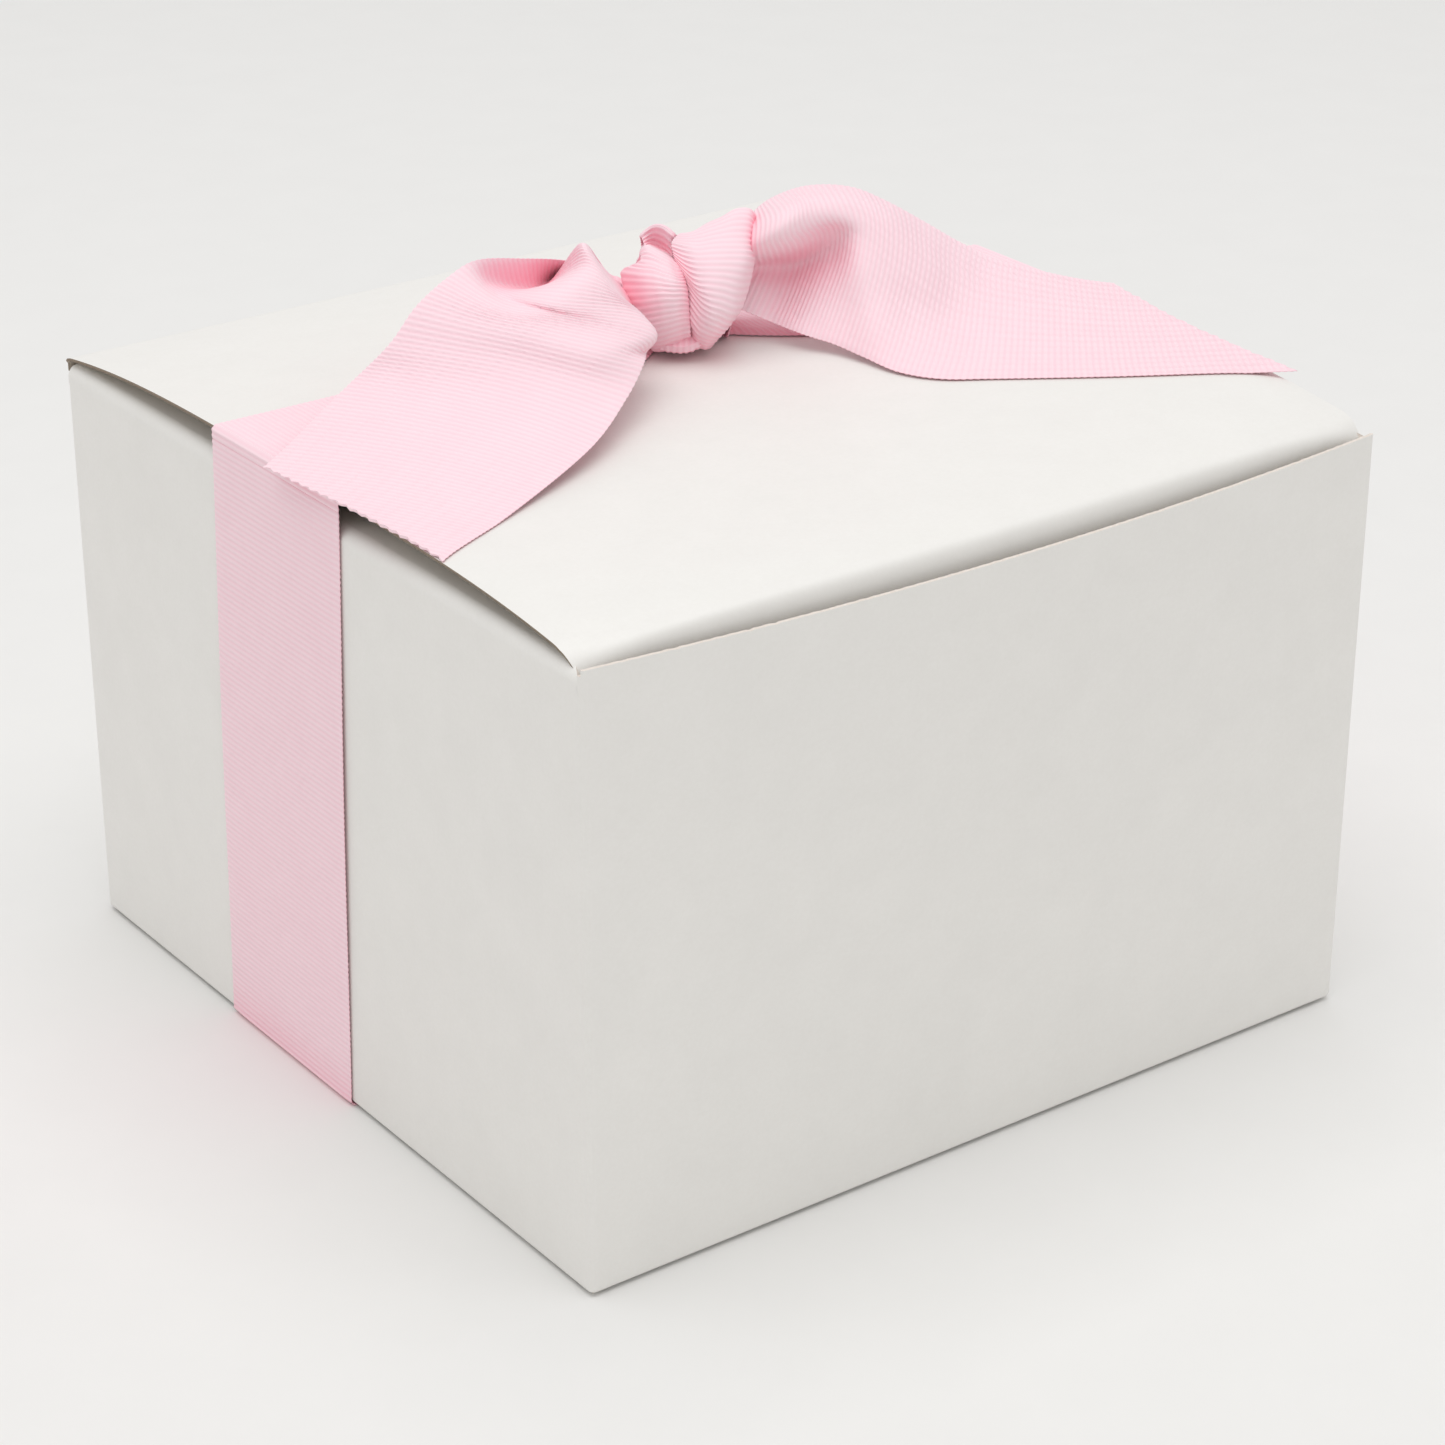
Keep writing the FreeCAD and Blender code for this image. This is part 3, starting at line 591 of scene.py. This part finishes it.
knot_foot = {-1: (4.0, 18.5), 1: (11.0, 16.0)}      # x and y, mm, where each half runs in under the knot
edge_middle = {-1: 6.2, 1: 5.0}     # y of the ribbon's middle at each side edge of the lid
edge_wide = {-1: 19.0, 1: 18.2}     # half its width there
edge_turn = 0.8             # mm, radius of its turn over the edge
foot_wide = 2.0             # half its width under the knot
gather = 20.0               # mm from the knot over which it draws in to that
pleat_high, pleat_run = {-1: 0.7, 1: 0.4}, 9.0      # mm, three pleats that rise toward the knot
hump_high, hump_run = 1.5, 5.0                      # mm, a hump that lifts it off the lid there
for side, name, node in ((-1, "ribbon_over_lid_left", "ribbon_lid_left_span"),
                         (1, "ribbon_over_lid_right", "ribbon_lid_right_span")):
    rows = []
    marks = np.linspace(-1, 1, 17)
    edge = [edge_middle[side] + edge_wide[side] * -k for k in marks]
    for drop in (lip, 1.7, 1.2):
        rows.append([(side * ribbon_out, y, lid_face(y) + ribbon_lift - drop) for y in edge])
    for dx, dz in arc_points((0, 0), edge_turn, 0, 90, 7):
        rows.append([(side * (ribbon_out - edge_turn + dx), y, lid_face(y) + ribbon_lift - edge_turn + dz)
                     for y in edge])
    start = side * (ribbon_out - edge_turn)
    for t in np.linspace(0, 1, 50)[1:]:
        x = start + (knot_foot[side][0] - start) * (1 - (1 - t) ** 1.5)
        away = abs(x - knot_foot[side][0])
        # the left half swings over to the knot late, the right half all along its run
        draw = math.exp(-(away / 33.0) ** 2) if side < 0 else max(0.0, 1 - (away / 65.0) ** 0.8)
        middle = edge_middle[side] + (knot_foot[side][1] - edge_middle[side]) * draw
        full = 1 - math.exp(-abs(start - knot_foot[side][0]) / gather)
        wide = foot_wide + (edge_wide[side] - foot_wide) * (1 - math.exp(-away / gather)) / full
        pleat = pleat_high[side] * math.exp(-away / pleat_run)
        row = []
        for k in marks:
            y = middle - wide * k
            hump = pleat * (0.5 - 0.5 * math.cos(3 * math.pi * (k + 1)))
            hump += hump_high * math.exp(-away / hump_run) * (1 - k * k)
            row.append((x, y, lid_face(y, x) + ribbon_lift + hump))
        rows.append(row)
    span, size = grosgrain_strip(name, rows, columns=41, flip=side)
    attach(span, "lid")
    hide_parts(node)


# Knot: the ribbon tied once and pulled tight. Two turns pass over the gathered ribbon, side by side;
# each is the full ribbon crushed to less than half its width, with its edges rolled under.
view_right = np.array([0.807, -0.5906, 0.0])        # along the knot's axis
view_up = np.array([0.255, 0.3486, 0.9018])         # across its face
view_out = np.array([-0.5326, -0.7277, 0.432])      # out from its face
knot_middle = np.array([6.5, 11.5, 117.5])


def knot_points(rows):
    """Rows of (along the axis, up its face, out from it), in mm from the knot's middle."""
    rows = np.asarray(rows, float)
    return knot_middle + rows[..., :1] * view_right + rows[..., 1:2] * view_up + rows[..., 2:3] * view_out


# rows of points across each turn, walked from under the knot up its back and down its face
left_rows = [
    [(-6.5, -9, -5), (-5.5, -9, -7), (-4, -9, -8), (-2.5, -9, -8),
     (-1, -9, -8), (0, -9, -7), (1, -9, -5)],
    [(-8.0, -3, -7), (-6.5, -3, -9), (-5, -3, -10), (-3, -3, -10),
     (-1.5, -3, -10), (-.5, -3, -9), (.5, -3, -6)],
    [(-8.7, 6.0, -2.2), (-7.4, 6.2, -4.6), (-5.7, 6.0, -6.4), (-4, 5.6, -7.2),
     (-2.5, 5, -7.5), (-1.5, 4.5, -6), (-.5, 4, -4)],
    [(-8.9, 7.9, 1.0), (-7.8, 8.9, 1.5), (-6.7, 9.5, 2.0), (-5.6, 9.5, 2.5),
     (-4.6, 9.0, 3.0), (-3.6, 8.1, 3.0), (-3.1, 7.5, 2.0)],
    [(-8.2, 6.1, 2.0), (-7.5, 6.5, 0.8), (-6.7, 6.5, 0.2), (-5.8, 6.1, 0.2),
     (-4.9, 5.6, 0.8), (-4.0, 4.7, 2.0), (-3.3, 3.6, 3.0)],
    [(-8.8, 5.0, 4.6), (-7.8, 5.4, 5.6), (-6.7, 4.9, 6.2), (-5.6, 4.3, 6.6),
     (-4.6, 3.8, 6.6), (-3.6, 3.2, 6.4), (-2.7, 2.5, 6.4)],
    [(-8.9, 3.0, 6.8), (-7.8, 2.8, 7.8), (-6.6, 2.5, 8.6), (-5.3, 1.9, 9.2),
     (-4.0, 1.4, 9.2), (-2.9, 0.8, 8.6), (-1.9, 1.0, 7.4)],
    [(-11.8, 1.8, 4.5), (-8.9, 0.9, 8.6), (-6.6, 0.5, 10.2), (-5.1, 0.0, 10.7),
     (-3.6, -.4, 10.7), (-2.4, -.6, 9.7), (-1.5, -.4, 8.2)],
    [(-11.6, -0.7, 5.0), (-8.6, -1.2, 9.3), (-6.4, -1.5, 10.9), (-4.9, -1.7, 11.2),
     (-3.5, -1.8, 11.2), (-2.2, -1.7, 10.1), (-1.2, -1.6, 8.6)],
    [(-11.0, -3.4, 5.5), (-8.1, -3.6, 9.6), (-6.0, -3.5, 11.0), (-4.6, -3.4, 11.3),
     (-3.3, -3.4, 11.0), (-2.0, -3.2, 10.0), (-1.0, -3.2, 8.6)],
    [(-9.8, -6.1, 6.0), (-7.3, -6.0, 9.1), (-5.6, -5.8, 10.2), (-4.4, -5.6, 10.4),
     (-3.1, -5.4, 10.2), (-1.9, -5.1, 9.2), (-.9, -5.0, 8.2)],
    [(-7.7, -8.5, 7.2), (-6.5, -8.4, 8.3), (-5.3, -8.1, 8.9), (-4.0, -7.8, 9.0),
     (-2.9, -7.4, 8.8), (-1.8, -7.1, 8.1), (-.8, -6.9, 7.4)],
    [(-7.3, -10.3, 5.4), (-6.2, -10.3, 6.3), (-5.0, -10.1, 6.8), (-3.9, -9.7, 7.0),
     (-2.8, -9.4, 6.8), (-1.7, -9.0, 6.2), (-.7, -8.8, 6.2)],
    [(-6.8, -11.0, 2.6), (-5.7, -11.1, 3.4), (-4.6, -10.9, 3.8), (-3.6, -10.6, 3.8),
     (-2.6, -10.3, 3.6), (-1.6, -9.9, 3.2), (-.7, -9.7, 2.4)],
    [(-6.3, -9.5, 0.0), (-5.2, -9.6, 0.0), (-4.2, -9.5, 0.0), (-3.2, -9.3, 0.0),
     (-2.4, -9.0, 0.0), (-1.5, -8.7, 0.0), (-.8, -8.6, 0.0)],
]
left_surface = on_lid(loft(knot_points(left_rows), 24))
left_turn, size = grosgrain_strip("knot_left_turn_ribbon", left_surface, columns=33, flip=1.0)
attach(left_turn, "lid")
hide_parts("knot_left_turn")

right_rows = [
    [(1, -9, -5), (1.8, -9, -7), (2.6, -9, -8), (3.4, -9, -8),
     (4.2, -9, -8), (4.9, -8.5, -7), (5.4, -8, -5)],
    [(0.5, -3, -6), (1.8, -3, -9), (3.2, -3, -10.5), (4.6, -3, -10.5),
     (5.8, -3, -10), (6.6, -2.5, -8), (7.0, -2, -5)],
    [(-1.0, 4.5, -4), (1.5, 5.5, -7), (4, 6.5, -8.5), (6, 7.5, -8.5),
     (8, 8.0, -8), (9.5, 8.0, -6), (10.3, 7.5, -3)],
    [(-2.2, 8.0, 0.5), (0, 8.3, 1.5), (2.2, 9.7, 1.5), (4.6, 10.8, 1.5),
     (6.9, 12.2, 1.0), (9.0, 12.2, 0.5), (9.9, 11.0, -.5)],
    [(-3.6, 6.5, 4.6), (-1.5, 6.0, 6.2), (0.7, 5.8, 6.8), (3.3, 6.2, 7.2),
     (6.0, 6.4, 6.8), (8.5, 6.5, 5.2), (9.7, 6.7, 1.5)],
    [(-3.5, 4.7, 5.6), (-1.6, 3.4, 7.5), (0.4, 2.7, 9.2), (2.9, 2.7, 9.8),
     (5.6, 2.8, 9.3), (8.2, 2.9, 7.6), (9.7, 3.4, 2.5)],
    [(-3.1, 3.1, 6.4), (-1.1, 0.7, 8.1), (0.5, -.8, 10.2), (2.6, -1.2, 11.2),
     (4.7, -1.4, 10.7), (6.9, -1.7, 8.8), (8.8, -.8, 3.0)],
    [(-2.1, 1.2, 7.0), (-.4, -1.3, 8.7), (1.1, -3.2, 10.4), (2.7, -4.2, 11.3),
     (4.4, -4.6, 10.8), (6.2, -5.0, 8.8), (7.6, -4.4, 3.5)],
    [(-1.6, -1.0, 7.4), (-.1, -3.4, 8.7), (1.2, -5.2, 9.9), (2.6, -6.2, 10.7),
     (3.8, -6.6, 10.2), (5.1, -7.0, 8.2), (6.1, -6.6, 3.8)],
    [(-1.3, -3.7, 7.5), (-.1, -5.7, 8.2), (1.0, -7.2, 8.9), (2.2, -7.9, 9.4),
     (3.3, -8.3, 8.9), (4.2, -8.5, 7.2), (4.9, -8.1, 4.0)],
    [(-1.1, -6.4, 6.6), (-.1, -7.9, 7.1), (.7, -8.9, 7.3), (1.7, -9.4, 7.4),
     (2.5, -9.6, 6.9), (3.1, -9.5, 5.8), (3.7, -9.2, 3.4)],
    [(-.7, -8.8, 2.2), (-.2, -9.7, 3.1), (.5, -10.3, 3.6), (1.1, -10.6, 3.6),
     (1.7, -10.7, 3.1), (2.2, -10.5, 2.2), (2.6, -10.3, 1.2)],
    [(-.7, -8.6, -.5), (-.2, -9.2, -.5), (.4, -9.5, -.5), (1.0, -9.6, -.5),
     (1.5, -9.6, -.5), (2.0, -9.4, -.5), (2.4, -9.2, -.5)],
]
right_surface = on_lid(loft(knot_points(right_rows), 24))
right_turn, size = grosgrain_strip("knot_right_turn_ribbon", right_surface, columns=33, flip=1.0)
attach(right_turn, "lid")
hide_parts("knot_right_turn")

# The ribbon inside the turns, gathered into a rope; a folded lip of it shows along the bottom of the knot.
# Each station is its place along the axis, how low the lip hangs and how far out, and the rope's girth.
core_stations = ((-11.8, -9.0, 1.0, 0.25), (-10.6, -9.0, 1.0, 0.45), (-9.4, -9.2, 1.3, 0.6),
                 (-8.4, -9.4, 1.6, 0.88), (-7.4, -10.2, 3.2, 1.0), (-6.2, -10.9, 4.6, 1.0),
                 (-4.9, -11.2, 5.4, 1.0), (-3.5, -11.4, 5.6, 1.0), (-2.2, -11.5, 5.6, 1.0),
                 (-.7, -11.3, 5.4, 1.0), (.7, -10.7, 5.0, 1.0), (2.2, -10.1, 4.4, 1.0),
                 (3.7, -9.2, 3.6, 1.0), (5.0, -7.6, 2.0, 0.8), (6.4, -7.4, 1.0, 0.5))
rope_middle = -1.5          # mm up the knot's face
core_rows = []
for x, low, out, girth in core_stations:
    ring = [(-4.0, -6.4), (-8.0, -5.0), (low + 0.4, out - 3.2), (low, out), (low + 0.9, out + 0.5),
            (low + 2.0, out - 0.3), (-5.0, 4.5), (-1.0, 4.6), (2.0, 4.0), (3.8, 1.8), (5.4, -0.5),
            (7.6, -0.4), (6.6, -2.4), (3.6, -4.4), (-0.5, -6.0), (-3.9, -6.3)]
    core_rows.append([(x, rope_middle + (up - rope_middle) * girth, off * girth) for up, off in ring])
core_surface = on_lid(loft(knot_points(core_rows), 16))
core, size = grosgrain_strip("knot_core_ribbon", core_surface, columns=57, flip=-1.0)
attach(core, "lid")
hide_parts("knot_core")


# Tails: the two free ends. Each springs out of the knot as a folded neck, opens to its full width,
# and lies down on the lid. The ends are cut on the slant with pinking shears.

# The photograph's own camera, fitted to the carton's corners: how it is turned, tilted and rolled, how far
# back, aside and up it stands, in mm, and its focal length and the middle of the picture, in pixels.
photo_turn, photo_tilt, photo_roll = np.radians((-36.2, 25.61, 0.12))
photo_stand, photo_aside, photo_lift = 661.09, 3.15, 39.76
photo_focus, photo_middle = 3798.77, 722.5
photo_level = np.array([math.cos(photo_turn), math.sin(photo_turn), 0.0])
photo_back = np.array([photo_level[1] * math.cos(photo_tilt), -photo_level[0] * math.cos(photo_tilt),
                       math.sin(photo_tilt)])
photo_upright = np.cross(photo_back, photo_level)
photo_right = math.cos(photo_roll) * photo_level + math.sin(photo_roll) * photo_upright
photo_up = math.cos(photo_roll) * photo_upright - math.sin(photo_roll) * photo_level
photo_eye = photo_back * photo_stand + photo_right * photo_aside + photo_up * photo_lift


def seen(across, down, rise):
    """The point in mm that the photograph shows at a pixel, judged to stand this high above the lid."""
    ray = (across - photo_middle) * photo_right - (down - photo_middle) * photo_up - photo_focus * photo_back
    point = photo_eye
    for _ in range(7):
        high = lid_face(point[1]) + rise
        point = photo_eye + ray * (high - photo_eye[2]) / ray[2]
    return point


# rows of points across the tail, from its far selvedge to its near one, to a tenth of a mm; rows inside the
# knot and near the cut end, and points that the knot hides, are given as places
left_tail_rows = np.round([
    [(3.1, 17.1, 115.8), (2.1, 15.6, 115.5), (0.6, 13.6, 117.3), (0.0, 12.7, 116.1), (0.2, 13.1, 113.7)],
    [(-2.5, 23.7, 117.8), (-3.1, 22.1, 116.7), (-3.7, 20.0, 118.1), (-3.6, 18.4, 116.8), (-2.8, 17.5, 115.0)],
    [seen(568.8, 259.8, 14), seen(561.6, 277, 10), seen(582, 243.5, 20),
     seen(598, 262, 16), (-4, 15, 116.3)],
    [seen(522.9, 257.3, 16.5), seen(535, 288.4, 10.5), seen(584, 268, 17),
     seen(617, 291, 13.5), (-7, 9, 113.8)],
    [seen(478, 258.8, 18.5), seen(494.3, 288, 13.5), seen(553.5, 301.6, 14.5),
     seen(639, 311.8, 10.5), (-9, 4, 112.1)],
    [seen(449.4, 275, 18.5), seen(502.4, 305.7, 14.5), seen(563.7, 315.9, 13),
     seen(649.4, 334.3, 8.5), seen(645.3, 350, 5)],
    [seen(416.7, 305.7, 16), seen(475, 322, 14), seen(534, 335, 12.3), seen(600, 351, 10), seen(644, 362, 7)],
    [seen(389, 343, 12), seen(447, 353, 11), seen(510, 364, 9.5), seen(575, 380, 7.5), seen(627, 396, 5)],
    [seen(345, 387, 7), seen(405, 396, 7), seen(470, 409, 6), seen(530, 425, 4.7), seen(591, 446, 3)],
    [(-79.6, 3.5, 108.3), (-74.4, -5.6, 108.8), (-69.1, -14.6, 109.0), (-63.7, -23.6, 108.6),
     (-58.4, -32.8, 107.9)],
    [(-98.4, -5.0, 107.3), (-93.2, -14.2, 107.8), (-87.9, -23.2, 108.0), (-82.4, -32.2, 107.7),
     (-77.2, -41.4, 107.1)],
], 1)
# its arch stands nearer the camera than those heights put it, as its rib spacing shows: mm for each row, and
# the share of it across the row
eye = np.round(photo_eye, 1)
arch = np.outer((0, 0, 4, 8, 8.5, 7.5, 5, 2.5, 0.5, 0, 0), (1, 1, 1, 0.85, 0.6))
nearer = eye - left_tail_rows
nearer /= np.linalg.norm(nearer, axis=2, keepdims=True)
left_tail_rows = np.round(left_tail_rows + nearer * arch[:, :, None], 1)
left_surface = on_lid(loft(left_tail_rows))
left_tail, size = grosgrain_strip("ribbon_tail_left", left_surface, columns=67, cut=(360, 397), flip=-1.0)
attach(left_tail, "lid")
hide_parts("ribbon_left_tail")

# where the right tail lies flat it runs straight across, slightly crowned, out to its cut
far_edge, near_edge, near_tip = seen(1113, 283, 3.4), seen(1128, 377.5, 0.5), seen(1272, 376, 0.6)
flat_row = [far_edge + (near_edge - far_edge) * k / 6 + np.array([0, 0, lift])
            for k, lift in enumerate((0, 0.15, 0.2, 0.15, 0.05, 0, 0))]
right_tail_rows = np.round([
    [(15.5, 15.4, 121.2), (14.7, 14.3, 120.8), (14.1, 13.4, 119.6), (13.2, 12.2, 117.6),
     (12.4, 11.9, 117.3), (10.7, 11.3, 116.4), (8.5, 10.1, 115.3)],
    [(19.1, 13.6, 126.2), (15.0, 8.2, 125.9), (13.1, 5.8, 124.0), (13.9, 7.1, 121.5),
     (16.6, 10.3, 118.7), (13.8, 8.6, 116.9), (10.5, 6.8, 114.5)],
    [seen(772, 197, 21), seen(784, 212, 22.5), seen(783, 233, 20), seen(790, 246, 16),
     seen(792, 262, 11), seen(783, 290, 7.5), seen(770, 320, 4)],
    [seen(808, 185, 21.5), seen(818, 200, 22.5), seen(824, 217, 20.5), seen(834, 231, 17),
     seen(832, 256, 12.5), seen(818, 295, 7.5), seen(803, 333, 3)],
    [seen(850, 186, 21), seen(858, 200, 21), seen(864, 218, 19), seen(864, 240, 16),
     seen(858, 270, 12), seen(846, 308, 6.5), seen(834, 343, 2)],
    [seen(886, 200, 19), seen(892, 216, 18.2), seen(894, 236, 16), seen(892, 262, 12.8),
     seen(885, 292, 9), seen(874, 326, 5), seen(864, 356, 1.2)],
    [seen(926, 222, 14.5), seen(926, 240, 13.5), seen(927, 262, 11.5), seen(923, 285, 9),
     seen(917, 310, 6), seen(908, 342, 3), seen(898, 371, 0.6)],
    [seen(964, 243.5, 10), seen(961, 262, 9), seen(961, 283, 7.2), seen(958, 305, 5.2),
     seen(954, 328, 3.2), seen(949, 353, 1.6), seen(940, 378, 0.5)],
    [seen(1004, 261, 7), seen(1002, 279, 6), seen(1002, 299, 4.7), seen(1001, 318, 3.4),
     seen(1000, 338, 2.1), seen(998, 358, 1.1), seen(995, 378, 0.5)],
    flat_row,
    [point + near_tip - near_edge for point in flat_row[:3]]
    + [(86.4, -40.9, 108.7), (83.5, -46.2, 108.2), (80.4, -51.5, 107.8), (77.4, -56.7, 107.4)],
], 1)
right_surface = on_lid(loft(right_tail_rows))
right_tail, size = grosgrain_strip("ribbon_tail_right", right_surface, columns=67, cut=(360, 400), flip=-1.0)
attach(right_tail, "lid")
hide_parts("ribbon_right_tail")


# Studio: a plain off-white floor, a wide soft light overhead and a pale surround.

# Matt seamless paper, off white, with a slight tooth.
paper, tree = finish_of("seamless_paper_matt_off_white")
place = add(tree, "ShaderNodeTexCoord")
tooth_noise = add(tree, "ShaderNodeTexNoise", {"Vector": place.outputs["Object"], "Scale": 60.0,
                  "Detail": 3.0})
colour = add(tree, "ShaderNodeMix", {"Factor": tooth_noise.outputs["Fac"], "A": linear("#EDECEA"),
             "B": linear("#EAE9E7")}, data_type="RGBA")
skin = add(tree, "ShaderNodeBsdfPrincipled", {"Base Color": colour.outputs["Result"], "Roughness": 0.9})
add(tree, "ShaderNodeOutputMaterial", {"Surface": skin.outputs["BSDF"]})
floor_mesh = bpy.data.meshes.new("studio_floor")
floor_mesh.from_pydata([(-4, -4, 0), (4, -4, 0), (4, 4, 0), (-4, 4, 0)], [], [(0, 1, 2, 3)])
floor_mesh.materials.append(paper)
floor = bpy.data.objects.new("studio_floor", floor_mesh)
bpy.context.scene.collection.objects.link(floor)

world = bpy.data.worlds.new("studio_surround")
bpy.context.scene.world = world
world.use_nodes = True
world.node_tree.nodes.clear()
glow = add(world.node_tree, "ShaderNodeBackground", {"Color": linear("#F2F2F2"), "Strength": 0.78})
add(world.node_tree, "ShaderNodeOutputWorld", {"Surface": glow.outputs["Background"]})


def soft_light(name, place, aim, size, power):
    """A square area light at a place, turned to face another."""
    lamp = bpy.data.lights.new(name, "AREA")
    lamp.shape, lamp.size, lamp.energy = "SQUARE", size, power
    holder = bpy.data.objects.new(name, lamp)
    bpy.context.scene.collection.objects.link(holder)
    back = np.array(place) - np.array(aim)
    back /= np.linalg.norm(back)
    side = np.cross((0, 1, 0.001), back)
    side /= np.linalg.norm(side)
    up = np.cross(back, side)
    holder.matrix_world = Matrix([[side[i], up[i], back[i], place[i]] for i in range(3)] + [[0, 0, 0, 1]])


soft_light("overhead_softbox", (-0.12, -0.12, 1.5), (0, 0, 0.08), 1.4, 10.2)

lens = bpy.data.cameras.new("camera")
lens.lens, lens.sensor_width, lens.clip_start = 94.6, 36.0, 0.01
camera = bpy.data.objects.new("camera", lens)
bpy.context.scene.collection.objects.link(camera)
axes = np.stack([view_right, view_up, view_out], 1)
spot = eye / 1000
camera.matrix_world = Matrix([list(axes[i]) + [spot[i]] for i in range(3)] + [[0, 0, 0, 1]])
bpy.context.scene.camera = camera
bpy.context.scene.view_settings.view_transform = "Standard"
